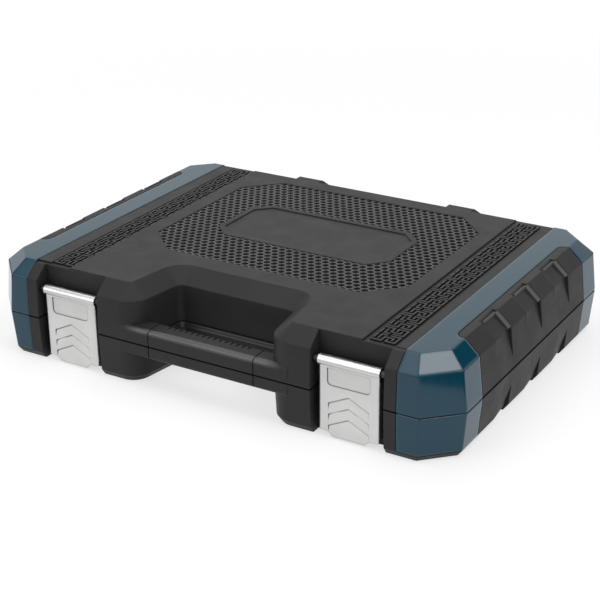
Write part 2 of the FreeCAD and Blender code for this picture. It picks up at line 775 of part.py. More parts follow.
def bit_holder():
    hexagon = ngon(6, BIT_HEX + SOCKET_FIT, SQUARE - 1, HOLDER_LENGTH + 1)
    return cylinder(HOLDER_R, 0, HOLDER_LENGTH).cut([hexagon, square_hole(SQUARE)])


def bit(kind, size):
    """Screwdriver bit standing on its hexagon shank."""
    low, high = BIT_SHANK - 1, BIT_LENGTH
    half = size / 2
    blade = half * BIT_BLADE
    if kind == "hex":
        tip = ngon(6, size, low, high)
    elif kind == "star":
        tip = star(6, size * BIT_STAR[0], size * BIT_STAR[1], low, high)
    else:
        tip = box(-half, half, -blade, blade, low, high).fuse(box(-blade, blade, -half, half, low, high))
    return joined(ngon(6, BIT_HEX, 0, BIT_SHANK), [tip])


# Ratchet: drive axis at the origin, head standing on z = 0, handle along +X

def cover_blank():
    tail = PAWL_R + COVER_TAIL
    disc = cylinder(HEAD_R * COVER_SHARE, COVER_Z, HEAD_THICK)
    web = box(0, LEVER_X, -tail, tail, COVER_Z, HEAD_THICK)
    return joined(disc, [web, cylinder(tail, COVER_Z, HEAD_THICK, LEVER_X)])


def ratchet_cover():
    z0, z1 = COVER_Z - 1, HEAD_THICK + 1
    lever_hole = cylinder(LEVER_R + GEAR_RUN, z0, z1, LEVER_X)
    return cover_blank().cut([lever_hole, cylinder(BUTTON_R + GEAR_CLEAR, z0, z1)])


def ratchet_body():
    head = cylinder(HEAD_R, 0, HEAD_THICK)
    wide, thin, long = HEAD_R * NECK_WIDE, HEAD_R * SHANK_SHARE, HEAD_R * NECK_LONG
    corners = [(0, -wide, 0), (long, -thin, 0), (long, thin, 0), (0, wide, 0)]
    neck = prism(corners, HEAD_FLOOR / 2, HEAD_THICK - HEAD_FLOOR / 2)
    bar = cross_cylinder(BAR_R, HEAD_R, HANDLE_LENGTH - GRIP_CAP, 0, HANDLE_Z)
    room = COVER_Z + GEAR_END_GAP
    rooms = [
        cylinder(GEAR_R + GEAR_CLEAR, HEAD_FLOOR, room),
        cylinder(PAWL_R + PAWL_CLEAR, HEAD_FLOOR, room, LEVER_X),
        cylinder(STEM_R + GEAR_RUN, -1, HEAD_FLOOR + 1),
    ]
    return joined(head, [neck, bar]).cut([cover_blank()] + rooms)


def ratchet_drive():
    low, high = GEAR_Z
    gear = star(GEAR_TEETH, GEAR_R, GEAR_R * GEAR_ROOT, low, high)
    stem = cylinder(STEM_R, -GEAR_END_GAP, low + 1)
    tip = ngon(4, SQUARE - SOCKET_FIT, DRIVE_Z, 0)
    return joined(gear, [stem, tip]).cut(cylinder(BUTTON_R + GEAR_RUN, -SQUARE * BUTTON_DEEP, HEAD_THICK))


def ratchet_button():
    foot = BUTTON_TRAVEL + BUTTON_SPARE - SQUARE * BUTTON_DEEP
    return cylinder(BUTTON_R, foot, HEAD_THICK + BUTTON_RISE)


def ratchet_pawl():
    """Two-winged pawl on the lever's shaft, its hollow side towards the gear."""
    low, high = GEAR_Z
    wing = [(LEVER_X + u * PAWL_R, v * PAWL_R, 0) for u, v in PAWL_WINGS]
    corners = wing + [(x, -y, r) for x, y, r in reversed(wing)]
    face = cylinder(GEAR_R + PAWL_CLEAR, low - 1, high + 1)
    return prism(corners, low, high).cut([face, cylinder(LEVER_R, low - 1, high + 1, LEVER_X)])


def ratchet_lever():
    z = HEAD_THICK + LEVER_RISE
    start, end = LEVER_X - 2 * LEVER_R, LEVER_X + PAWL_R * THUMB_LONG
    wide, thin = LEVER_R * THUMB_HALF[0], LEVER_R * THUMB_HALF[1]
    corners = [(start, -thin, 0), (LEVER_X, -wide, 0), (end, -thin, 0)]
    corners += [(x, -y, r) for x, y, r in reversed(corners)]
    shaft = cylinder(LEVER_R, GEAR_Z[0], z + 1, LEVER_X)
    return joined(shaft, [prism(corners, z, z + LEVER_THICK)])


def ratchet_grip():
    """Eight-sided grip with a waist between two collars and a smaller end."""
    full, waist = 2 * HANDLE_GRIP_R, 2 * HANDLE_GRIP_R * GRIP_WAIST
    stops = [GRIP_X + HANDLE_GRIP_LENGTH * share for share in GRIP_COLLARS]
    handle = ngon(GRIP_SIDES, waist, GRIP_X, HANDLE_LENGTH)
    collars = [ngon(GRIP_SIDES, full, stops[0], stops[1]), ngon(GRIP_SIDES, full, stops[2], stops[3])]
    handle = placed(laid(joined(handle, collars)), 0, 0, HANDLE_Z)
    return handle.cut(cross_cylinder(BAR_R, 0, HANDLE_LENGTH - GRIP_CAP, 0, HANDLE_Z))


def ratchet_pocket():
    """Space that the ratchet needs in the tray."""
    wide = HEAD_R + WELL_CLEAR
    thick = HANDLE_GRIP_R + WELL_CLEAR
    low = HANDLE_Z - HANDLE_GRIP_R - WELL_REST
    return [
        box(-wide, GRIP_X, -wide, wide, -WELL_REST, BIG),
        ngon(WELL_SIDES, 2 * (STEM_R + DRIVE_ROOM), DRIVE_Z - 1, 0),
        box(GRIP_X - 1, HANDLE_LENGTH + WELL_CLEAR, -thick, thick, low, BIG),
    ]


# Tray: every tool adds its pocket and is put in its own place

WELLS = []
POCKETS = []
TOOLS = {}


def add_tool(node, shape):
    TOOLS.setdefault(node, []).append(shape)


def stand(node, shape, r, x, y, floor):
    """Stand a tool upright in an eight-sided well."""
    WELLS.append((x, y, r + WELL_CLEAR, floor))
    add_tool(node, placed(shape, x, y, floor + WELL_REST))


def lay(node, shape, r, length, x, y):
    """Lay a round tool along X in a slot, its axis a little above the deck."""
    z = DECK_Z + LYING_LIFT
    POCKETS.append(box(x - WELL_CLEAR, x + length + WELL_CLEAR, y - r - WELL_CLEAR, y + r + WELL_CLEAR,
                       z - r - WELL_REST, BIG))
    add_tool(node, placed(laid(shape), x, y, z))


def stand_row(entries, x, y):
    """Stand a row of (node, shape, radius, floor) tools from x to the right; returns the row's end."""
    for node, shape, r, floor in entries:
        x += r + WELL_CLEAR
        stand(node, shape, r, x, y, floor)
        x += r + WELL_CLEAR + WELL_PITCH_GAP - 2 * WELL_CLEAR
    return x


def socket_row(sizes):
    """Row entries for standing sockets; the largest ones are longer."""
    entries = []
    for size in sizes:
        length = SOCKET_LENGTH_LARGE if size >= LONGER_FROM else SOCKET_LENGTH
        shape, r = socket_body(size, length)
        entries.append(("half_inch_sockets", shape, r, STAND_FLOOR))
    return entries


def place_ratchet(x, y):
    """Put the ratchet into its pocket with its head at the left; returns the end of the pocket."""
    at = x + HEAD_R + WELL_CLEAR
    POCKETS.extend(placed(shape, at, y, HEAD_LIFT) for shape in ratchet_pocket())
    pieces = {
        "body": ratchet_body(), "cover": ratchet_cover(), "drive": ratchet_drive(), "pawl": ratchet_pawl(),
        "lever": ratchet_lever(), "button": ratchet_button(), "grip": ratchet_grip(),
    }
    for piece, shape in pieces.items():
        add_tool("ratchet_" + piece, placed(shape, at, y, HEAD_LIFT))
    return at + HANDLE_LENGTH + WELL_PITCH_GAP


def fill_bits():
    """One row of bits on each side of the handle recess."""
    r = BIT_HEX / 2 / math.cos(math.pi / 6)
    for i in range(BIT_PER_SIDE):
        shape = bit(BIT_TIPS[i % len(BIT_TIPS)], BIT_FIRST_SIZE + BIT_SIZE_STEP * (i // len(BIT_TIPS)))
        for side in (-1, 1):
            stand("hex_bits", shape, r, side * (BIT_FIRST_X + i * BIT_PITCH), ROW_BITS_Y, DECK_Z - BIT_DEEP)


def fill_rows():
    """Put every tool into its row, from the back of the tray to the front."""
    left = TRAY_INSET + TRAY_EDGE - HALF_W
    stand_row(socket_row(LARGE_SIZES), left, ROW_LARGE_Y)
    x = stand_row(socket_row(MEDIUM_SIZES), left, ROW_MEDIUM_Y)
    for size in PLUG_SIZES:
        shape, r = socket_body(size, PLUG_LENGTH)
        lay("spark_plug_sockets", shape, r, PLUG_LENGTH, x + WELL_PITCH_GAP, ROW_MEDIUM_Y)
        x += PLUG_LENGTH + 2 * WELL_PITCH_GAP

    x = place_ratchet(left, ROW_RATCHET_Y)
    rest = [("square_adapter", adapter(), ADAPTER_R, ADAPTER_FLOOR)]
    rest.append(("bit_holder", bit_holder(), HOLDER_R, HOLDER_FLOOR))
    stand_row(rest, x, ROW_RATCHET_Y)

    lay("extension_bar", extension(BAR_LENGTH), BAR_HEAD_R, BAR_LENGTH, left, ROW_BAR_Y)
    x = left + BAR_LENGTH + 2 * WELL_PITCH_GAP
    lay("short_extension_bar", extension(SHORT_BAR_LENGTH), BAR_HEAD_R, SHORT_BAR_LENGTH, x, ROW_BAR_Y)
    fill_bits()


def pocket_wall(pocket_shape):
    """Block of the tray round one lying tool's pocket, grown from the pocket's own sizes."""
    bounds = pocket_shape.BoundBox
    floor = bounds.ZMin - WELL_WALL
    bounds.enlarge(WELL_WALL)
    return box(bounds.XMin, bounds.XMax, bounds.YMin, bounds.YMax, floor, DECK_Z)


def well(x, y, r, floor, wall, top):
    return ngon(WELL_SIDES, 2 * (r + wall), floor - wall, top, x, y)


def tray_outline(thick):
    inset = (TRAY_INSET + thick, TRAY_FRONT + thick, TRAY_INSET + thick)
    return outline(inset, TRAY_CUT, TRAY_INSET + thick, RECESS_BACK_R, RECESS_BACK_R + TRAY_INSET)


def make_tray():
    deck = prism(tray_outline(0), DECK_Z - DECK_THICK, DECK_Z)
    skirt = prism(tray_outline(0), FLOOR, DECK_Z).cut(prism(tray_outline(WELL_WALL), FLOOR - 1, DECK_Z + 1))
    walls = [pocket_wall(p) for p in POCKETS] + [well(*w, WELL_WALL, DECK_Z) for w in WELLS]
    tray = deck.fuse([skirt] + walls).common(prism(tray_outline(0), FLOOR, DECK_Z))
    rooms = POCKETS + [well(*w, 0, BIG) for w in WELLS]
    save("tool_tray", tray.cut(rooms).removeSplitter())


def main():
    os.makedirs("parts", exist_ok=True)
    make_lid()
    make_base()
    make_hinge_pins()
    make_latches()
    fill_rows()
    make_tray()
    for node, shapes in TOOLS.items():
        save(node, shapes)


main()
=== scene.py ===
import json
import math

import bmesh
import bpy
from mathutils import Matrix, Vector


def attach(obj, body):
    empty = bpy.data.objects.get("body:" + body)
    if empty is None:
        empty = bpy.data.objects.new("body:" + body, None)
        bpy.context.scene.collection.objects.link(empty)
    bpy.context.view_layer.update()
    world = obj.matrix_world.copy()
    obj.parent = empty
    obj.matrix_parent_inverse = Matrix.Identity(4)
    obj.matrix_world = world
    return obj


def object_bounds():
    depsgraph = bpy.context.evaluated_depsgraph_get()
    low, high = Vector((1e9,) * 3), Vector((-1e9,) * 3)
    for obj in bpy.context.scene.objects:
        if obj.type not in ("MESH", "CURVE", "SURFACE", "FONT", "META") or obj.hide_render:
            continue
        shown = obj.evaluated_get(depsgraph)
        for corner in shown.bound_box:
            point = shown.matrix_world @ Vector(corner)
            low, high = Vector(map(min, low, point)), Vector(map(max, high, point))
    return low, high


# Socket wrench set in a moulded case: materials, moulded surface patterns, light and camera, in metres.

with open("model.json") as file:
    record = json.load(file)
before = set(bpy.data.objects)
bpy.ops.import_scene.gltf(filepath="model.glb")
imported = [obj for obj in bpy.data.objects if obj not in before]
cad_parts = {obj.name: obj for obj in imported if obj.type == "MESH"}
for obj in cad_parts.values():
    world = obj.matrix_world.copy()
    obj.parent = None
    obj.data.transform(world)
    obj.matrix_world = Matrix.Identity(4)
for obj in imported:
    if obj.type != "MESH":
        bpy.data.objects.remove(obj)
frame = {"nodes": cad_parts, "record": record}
cad_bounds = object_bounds()
nodes = frame["nodes"]
MM = 0.001

# Camera
CAMERA_AT = Vector((0.54154, -0.90578, 0.49198))
CAMERA_AZIMUTH = math.radians(31.038)
CAMERA_ELEVATION = math.radians(23.810)
CAMERA_ROLL = math.radians(-0.4998)
CAMERA_LENS = 88.78
SENSOR = 36.0

# Floor: size, colour and texture, its white share near the case, and the distances between which that
# share grows to plain white
FLOOR_SIZE = 12.0
FLOOR_COLOUR = (0.93, 0.93, 0.93)
FLOOR_ROUGHNESS = 0.9
FLOOR_CHANGE = 0.01
FLOOR_BLOTCH = 3.0
FLOOR_WHITE_NEAR = 0.65
FLOOR_WHITE = (0.45, 1.0)

# Light: white surroundings and softboxes, each with its place, target, size and power
SURROUND_LIGHT = 0.55
LAMPS = (
    ("softbox_top", (-0.5, 0.5, 1.9), (0.0, 0.0, 0.0), 1.8, 13.0),
    ("softbox_key", (0.93, -0.17, 1.6), (0.1, -0.1, 0.05), 0.6, 7.0),
    ("softbox_fill", (-0.52, -0.70, 1.6), (0.1, -0.1, 0.05), 1.3, 5.4),
    ("softbox_right", (2.2, -0.5, 0.9), (0.1, 0.0, 0.05), 1.2, 9.0),
    ("softbox_front", (-1.3, -2.0, 0.9), (0.0, -0.1, 0.05), 1.7, 13.0),
)

# Dark cards that only reflections show: three flags and the table round a white sheet
FLAGS = (
    ("flag_right", Vector((1.37, 1.50, 1.56)), 0.75),
    ("flag_left", Vector((-1.67, -0.79, 1.81)), 0.6),
    ("flag_top", Vector((-0.7, 0.55, 1.75)), 0.4),
)
TABLE_HEIGHT = 0.002
TABLE_HALF = 3.0
SHEET_HALF = (0.33, 0.35)
CARD_COLOUR = (0.03, 0.03, 0.03)

# Moulded patterns: the middle of the moulded walls, from which they are measured, and the top of the lid
CASE_MIDDLE_Y = -3.2 * MM
LID_TOP = cad_bounds[1][2]

# Treads: depth of the sunk strip, span from the middle on the right (1) and on the left (-1), half length,
# grid and number of the blocks, and the strokes' width, chamfer and depth under the top
TREAD_FLOOR = 1.3 * MM
TREAD_SPANS = {1: (126.0 * MM, 144.6 * MM), -1: (122.6 * MM, 141.2 * MM)}
TREAD_HALF_LENGTH = 123.0 * MM
TREAD_COLUMNS = 6
TREAD_ROWS = 4
TREAD_BLOCKS = 21
TREAD_STROKE = 1.75 * MM
TREAD_CHAMFER = 0.2 * MM
TREAD_BELOW_TOP = 0.05 * MM

# Strokes of one block by column and row; every other block is turned over
TREAD_STROKES = (
    ((3, 3), (5, 3), (5, 0), (3, 0), (3, 1)),
    ((4, 1), (4, 2), (2, 2), (2, 0), (0, 0)),
    ((2, 3), (1, 3), (1, 1)),
    ((0, 1), (0, 3)),
)

# Borders beside the treads: gap to the strokes, outer line, half length, height on each side, sloping edge
BORDER_GAP = 1.0 * MM
BORDER_OUTER = 154.4 * MM
BORDER_HALF_LENGTH = 124.5 * MM
BORDER_HEIGHTS = {1: 0.4 * MM, -1: 1.2 * MM}
BORDER_EDGE = 0.3 * MM

# Field of dimples and the plate in it: half width, span in depth, cut of the corners, and the field's depth
FIELD_HALF = 109.5 * MM
FIELD_Y = (-60.3 * MM, 111.5 * MM)
FIELD_CUT = 26.0 * MM
FIELD_FLOOR = 2.0 * MM
PLATE_HALF = 76.0 * MM
PLATE_Y = (-13.5 * MM, 61.0 * MM)
PLATE_CUT = 14.0 * MM

# Dimples: pitch in a row and of the rows, depth of their net under the top and its thickness, size and depth
# of the rings as shares, half sizes, share of the width at the shoulders, and how far the net runs past the
# edges of field and plate
CELL_PITCH = 6.3 * MM
CELL_ROW = 5.3 * MM
CELL_BELOW_TOP = 0.25 * MM
CELL_SHEET = 0.15 * MM
CELL_LEVELS = ((1.0, 0.0), (0.96, 0.15), (0.86, 0.92))
CELL_HALF = (2.95 * MM, 2.5 * MM)
CELL_SHOULDER = 0.42
CELL_OVER = 2.5 * MM

# Bars at the foot of the side ribs: the ribs' front edges, where the lid's shoulder starts and ends as
# distance from the middle and height, the part of it that a bar covers, and the bar's section in mm as
# distance behind the edge and height over the shoulder
RIB_EDGES = (64.0 * MM, 11.7 * MM, -40.6 * MM)
SHOULDER_TOP = (180.3 * MM, 75.0 * MM)
SHOULDER_LOW = (191.5 * MM, 64.7 * MM)
BAR_SPAN = (0.03, 0.97)
BAR_SECTION = ((-2.5, -3.4), (1.2, -3.4), (1.2, -0.4), (-2.2, -0.7), (-2.5, -0.95))

# Rim along the head of each sunk part: its start and end before the edge, and its section in mm beside
# and below the shoulder's top line
RIM_SPAN = (-21.0 * MM, -2.0 * MM)
RIM_SECTION = ((-1.0, -3.0), (-0.2, -3.0), (-0.2, -0.5), (-0.35, -0.3), (-0.85, -0.3), (-1.0, -0.45))

# Lip of the base round the handle recess: wall lines of the recess, and the lip's section in mm as
# distance in front of the wall and height
RECESS_BACK = -91.8 * MM
RECESS_HALF = 48.9 * MM
RECESS_SLANT = 0.142
RECESS_CORNER = 5.0 * MM
RECESS_START = -120.6 * MM
CORNER_STEPS = 6
LIP_SECTION = (
    (-0.4, 31.5), (1.2, 31.5), (1.8, 33.0), (1.8, 35.0), (1.4, 35.5), (0.6, 35.5), (0.6, 34.1), (-0.4, 34.1),
)

# Colours
CASE_BLACK = (0.0195, 0.0195, 0.02)
# The bars' paler grey is painted highlight: it stands in for the light that their rounded tops catch
BAR_HIGHLIGHT_GREY = (0.075, 0.075, 0.076)
CAP_BLUE = (0.001, 0.035, 0.06)
TRAY_BLACK = (0.014, 0.014, 0.0145)
RUBBER_BLACK = (0.03, 0.03, 0.031)
STAMPED = (0.6, 0.6, 0.595)
PIN_GREY = (0.05, 0.05, 0.052)
DARK_STEEL = (0.24, 0.24, 0.25)
BIT_STEEL = (0.34, 0.34, 0.35)
CHROME = (0.58, 0.58, 0.59)

# Textures: the range of a noise value that is used, the noise's detail and roughness, and for each kind of
# material the change of tint, the scales of its noises, the change of roughness and the depth of the bump
TEXTURE_RANGE = (0.3, 0.7)
NOISE_DETAIL = 3.0
NOISE_ROUGHNESS = 0.55
PLASTIC_CHANGE = 0.1
PLASTIC_BLOTCH = 28.0
PLASTIC_UNEVEN = 60.0
PLASTIC_ROUGHER = 0.05
PLASTIC_GRAIN_DETAIL = 2.0
PLASTIC_BUMP = 0.06 * MM
CAP_CHANGE = 0.06
CAP_BLOTCH = 16.0
CAP_ROUGHNESS = 0.08
CAP_GLOSS = 0.4
CAP_MARKS = 90.0
CAP_MARK_DETAIL = 4.0
CAP_MARK_STRETCH = (1, 9, 3)
CAP_SMOOTHER = 0.04
CAP_ROUGHER = 0.08
CAP_WAVES = 70.0
CAP_WAVE_DETAIL = 1.0
CAP_WAVE_STRENGTH = 0.12
CAP_BUMP = 0.05 * MM
METAL_CHANGE = 0.05
METAL_BLOTCH = 45.0
METAL_GRAIN = 400.0
METAL_ROUGHER = 0.04
METAL_BUMP = 0.02 * MM

# Edge rounding of the modelled pieces: what counts as one point, as flat and as an edge, steps and widths
WELD_DISTANCE = 0.002 * MM
FLAT_ANGLE = math.radians(0.6)
EDGE_ANGLE = math.radians(14)
EDGE_STEPS = 2
DEFAULT_EDGE = 0.35 * MM
EDGE_WIDTHS = {
    "lid_shell": 0.6 * MM,
    "base_shell": 0.6 * MM,
    "tool_tray": 0.5 * MM,
    "ratchet_grip": 1.5 * MM,
}

# Shallow folds that stay crisp: range of angles, least area of the faces, and digits of a place in metres
FOLD_ANGLES = (math.radians(2.0), math.radians(14))
FOLD_FACE = 40.0 * MM * MM
PLACE_DIGITS = 6

# Softening of edges in the shader: radius on caps and shells, and samples
CAP_SOFT = 2.5 * MM
SHELL_SOFT = 1.2 * MM
SOFT_SAMPLES = 8

# Painted shade in creases, gaps and treads and along stamped edges, from ambient occlusion into colour and
# gloss: how far it looks, how deep it goes, and the range of openness over which it sets in
CREASE_REACH = 1.5 * MM
STAMP_REACH = 4.0 * MM
STAMP_EDGE_SHADE = 0.65 * MM
GAP_REACH = 1.2 * MM
BAR_REACH = 0.1 * MM
TREAD_REACH = 3.0 * MM
CREASE_SHADE_DEPTH = 0.75
GAP_SHADE_DEPTH = 0.85
OPEN_RANGE = (0.38, 0.87)

# Plastics: name, colour, roughness, scale of the grain, strength of the bump, gloss and reach of painted
# shade
SHELL_PLASTIC = "case_plastic"
PLASTICS = (
    (SHELL_PLASTIC, CASE_BLACK, 0.5, 2600.0, 0.35, 0.19, GAP_REACH),
    # Bars: paler grey as painted highlight on their tops
    ("bar_highlight_plastic", BAR_HIGHLIGHT_GREY, 0.45, 2600.0, 0.2, 0.24, BAR_REACH),
    ("tread_plastic", CASE_BLACK, 0.45, 2600.0, 0.2, 0.24, TREAD_REACH),
    ("smooth_plastic", CASE_BLACK, 0.36, 2600.0, 0.15, 0.4, GAP_REACH),
    ("tray_plastic", TRAY_BLACK, 0.55, 2000.0, 0.3, 0.19, GAP_REACH),
    ("soft_rubber", RUBBER_BLACK, 0.62, 1500.0, 0.5, 0.19, GAP_REACH),
)

# Metals: name, colour, roughness, stretch of the grain, strength of the bump, reach of painted shade in
# creases and along outer edges
METALS = (
    ("latch_steel", STAMPED, 0.36, (1, 1, 0.1), 0.03, STAMP_REACH, STAMP_EDGE_SHADE),
    ("pin_steel", PIN_GREY, 0.45, (0.05, 1, 1), 0.1, CREASE_REACH, 0.0),
    ("dark_steel", DARK_STEEL, 0.34, (0.2, 1, 1), 0.03, CREASE_REACH, 0.0),
    ("bit_steel", BIT_STEEL, 0.38, (1, 1, 0.2), 0.03, CREASE_REACH, 0.0),
    ("chromed_steel", CHROME, 0.3, (1, 1, 0.3), 0.012, CREASE_REACH, 0.0),
)

# Painted shade where base and lid part: its height, half widths at the front and at the sides, the distances
# from the middle between which they change, the share of it that is darkest, and its darkest level
PARTING_Z = 34.4 * MM
SEAM_HALVES = (0.75 * MM, 1.25 * MM)
SEAM_SIDES = (185 * MM, 190 * MM)
SEAM_SHARE = 0.6
SEAM_SHADE_LEVEL = 0.12

# Painted shade along the gap round each side panel: its inner edge, half length, corner radius, half width,
# the share of it that is darkest, and its darkest level
PANEL_LINE = 173.3 * MM
PANEL_HALF = 92.2 * MM
PANEL_ROUND = 6.0 * MM
GAP_LINE = 0.55 * MM
GAP_SHARE = 0.5
GAP_SHADE_LEVEL = 0.2

# Limits that tell the outer faces from the inner ones: height of the top, place of the side walls, and
# place of the shoulder slopes along their normal
OUTSIDE_TOP = 74.0 * MM
OUTSIDE_WALL = 191.2 * MM
OUTSIDE_SLOPE = 175.5 * MM
SLOPE_NORMAL = (0.678, 0.737)

# Worn front edge of the grip bar: where it fades out to the sides, its lower end, its top, its back, and
# the change of gloss and roughness
WORN_SIDES = (54 * MM, 66 * MM)
WORN_HEIGHT = (43.0 * MM, 44.4 * MM)
WORN_TOP = 47.3 * MM
WORN_BACK = -139.6 * MM
WORN_GLOSS = 0.6
WORN_SMOOTHER = 0.15


# Node helpers

def shader(name, colour, roughness, metallic=0.0):
    """New material with one shader; returns the material, its tree and the shader node."""
    made = bpy.data.materials.new(name)
    made.use_nodes = True
    tree = made.node_tree
    surface = tree.nodes["Principled BSDF"]
    surface.inputs["Base Color"].default_value = (*colour, 1)
    surface.inputs["Roughness"].default_value = roughness
    surface.inputs["Metallic"].default_value = metallic
    return made, tree, surface


def coordinates(tree, scale=(1, 1, 1)):
    place = tree.nodes.new("ShaderNodeTexCoord")
    mapping = tree.nodes.new("ShaderNodeMapping")
    mapping.inputs["Scale"].default_value = scale
    tree.links.new(place.outputs["Object"], mapping.inputs["Vector"])
    return mapping.outputs["Vector"]


def noise(tree, vector, scale, detail=NOISE_DETAIL):
    texture = tree.nodes.new("ShaderNodeTexNoise")
    texture.inputs["Scale"].default_value = scale
    texture.inputs["Detail"].default_value = detail
    texture.inputs["Roughness"].default_value = NOISE_ROUGHNESS
    tree.links.new(vector, texture.inputs["Vector"])
    return texture.outputs["Fac"]


def spread(tree, value, low, high, source=TEXTURE_RANGE):
    """Stretch a texture value to the range from low to high."""
    remap = tree.nodes.new("ShaderNodeMapRange")
    remap.inputs["From Min"].default_value = source[0]
    remap.inputs["From Max"].default_value = source[1]
    remap.inputs["To Min"].default_value = low
    remap.inputs["To Max"].default_value = high
    tree.links.new(value, remap.inputs["Value"])
    return remap.outputs["Result"]


def tint(tree, value, low, high):
    """Colour between two tints by a texture value."""
    ramp = tree.nodes.new("ShaderNodeValToRGB")
    for stop, position, colour in zip(ramp.color_ramp.elements, TEXTURE_RANGE, (low, high)):
        stop.position = position
        stop.color = (*colour, 1)
    tree.links.new(value, ramp.inputs["Fac"])
    return ramp.outputs["Color"]


def bump(tree, surface, height, strength, distance, soft=0.0):
    node = tree.nodes.new("ShaderNodeBump")
    node.inputs["Strength"].default_value = strength
    node.inputs["Distance"].default_value = distance
    tree.links.new(height, node.inputs["Height"])
    if soft:
        edge = tree.nodes.new("ShaderNodeBevel")
        edge.samples = SOFT_SAMPLES
        edge.inputs["Radius"].default_value = soft
        tree.links.new(edge.outputs["Normal"], node.inputs["Normal"])
    tree.links.new(node.outputs["Normal"], surface.inputs["Normal"])


def shades(colour, change):
    return tuple(c * (1 - change) for c in colour), tuple(c * (1 + change) for c in colour)


def occlusion_shade(tree, distance, depth, inside=False):
    """Painted shade level from ambient occlusion: one on open surfaces, falling by depth in tight creases,
    or along outer edges if inside is set.
    """
    shade = tree.nodes.new("ShaderNodeAmbientOcclusion")
    shade.inside = inside
    shade.inputs["Distance"].default_value = distance
    return spread(tree, shade.outputs["AO"], 1.0 - depth, 1.0, OPEN_RANGE)


def reckon(tree, operation, first, second=0.0):
    """Result of a calculation with one value and either a second value or a number."""
    node = tree.nodes.new("ShaderNodeMath")
    node.operation = operation
    tree.links.new(first, node.inputs[0])
    if isinstance(second, float):
        node.inputs[1].default_value = second
    else:
        tree.links.new(second, node.inputs[1])
    return node.outputs["Value"]


def parts_of(tree, vector):
    """Distance from the middle to either side, place in depth, and height."""
    split = tree.nodes.new("ShaderNodeSeparateXYZ")
    tree.links.new(vector, split.inputs["Vector"])
    return reckon(tree, "ABSOLUTE", split.outputs["X"]), split.outputs["Y"], split.outputs["Z"]


def seam_shade(tree, vector):
    """Painted shade along the parting line of the case: dark there, one elsewhere."""
    aside, _, height = parts_of(tree, vector)
    away = reckon(tree, "ABSOLUTE", reckon(tree, "SUBTRACT", height, PARTING_Z))
    half = spread(tree, aside, *SEAM_HALVES, SEAM_SIDES)
    return spread(tree, reckon(tree, "DIVIDE", away, half), SEAM_SHADE_LEVEL, 1.0, (SEAM_SHARE, 1.0))


def on_outside(tree, aside, height):
    """One on the top, the shoulder slopes and the side walls, nought on the inner faces."""
    lean = [reckon(tree, "MULTIPLY", part, share) for part, share in zip((aside, height), SLOPE_NORMAL)]
    top = reckon(tree, "GREATER_THAN", height, OUTSIDE_TOP)
    wall = reckon(tree, "GREATER_THAN", aside, OUTSIDE_WALL)
    slope = reckon(tree, "GREATER_THAN", reckon(tree, "ADD", *lean), OUTSIDE_SLOPE)
    return reckon(tree, "MAXIMUM", reckon(tree, "MAXIMUM", top, wall), slope)


def panel_gap_shade(tree, vector):
    """Painted shade along the gap round each side panel: dark there, one elsewhere."""
    aside, depth, height = parts_of(tree, vector)
    inward = reckon(tree, "MULTIPLY", reckon(tree, "SUBTRACT", aside, PANEL_LINE + PANEL_ROUND), -1.0)
    along = reckon(tree, "ABSOLUTE", reckon(tree, "SUBTRACT", depth, CASE_MIDDLE_Y))
    past = reckon(tree, "SUBTRACT", along, PANEL_HALF - PANEL_ROUND)
    squares = [reckon(tree, "POWER", reckon(tree, "MAXIMUM", part), 2.0) for part in (inward, past)]
    corner = reckon(tree, "SQRT", reckon(tree, "ADD", *squares))
    inner = reckon(tree, "MINIMUM", reckon(tree, "MAXIMUM", inward, past))
    off = reckon(tree, "SUBTRACT", reckon(tree, "ADD", corner, inner), PANEL_ROUND)
    within = reckon(tree, "LESS_THAN", on_outside(tree, aside, height), 0.5)
    away = reckon(tree, "ADD", reckon(tree, "ABSOLUTE", off), within)
    return spread(tree, away, GAP_SHADE_LEVEL, 1.0, (GAP_LINE * GAP_SHARE, GAP_LINE))


def on_grip_edge(tree, vector):
    """One on the front top edge of the grip bar, nought elsewhere."""
    aside, depth, height = parts_of(tree, vector)
    between = spread(tree, aside, 1.0, 0.0, WORN_SIDES)
    above = spread(tree, height, 0.0, 1.0, WORN_HEIGHT)
    below = reckon(tree, "LESS_THAN", height, WORN_TOP)
    before = reckon(tree, "LESS_THAN", depth, WORN_BACK)
    band = reckon(tree, "MULTIPLY", above, below)
    return reckon(tree, "MULTIPLY", reckon(tree, "MULTIPLY", between, before), band)


def darkened(tree, colour, level):
    """Colour or level multiplied by a level; every use here paints shade."""
    mix = tree.nodes.new("ShaderNodeMix")
    mix.data_type = "RGBA"
    mix.blend_type = "MULTIPLY"
    mix.inputs["Factor"].default_value = 1.0
    tree.links.new(colour, mix.inputs["A"])
    tree.links.new(level, mix.inputs["B"])
    return mix.outputs["Result"]


# Materials

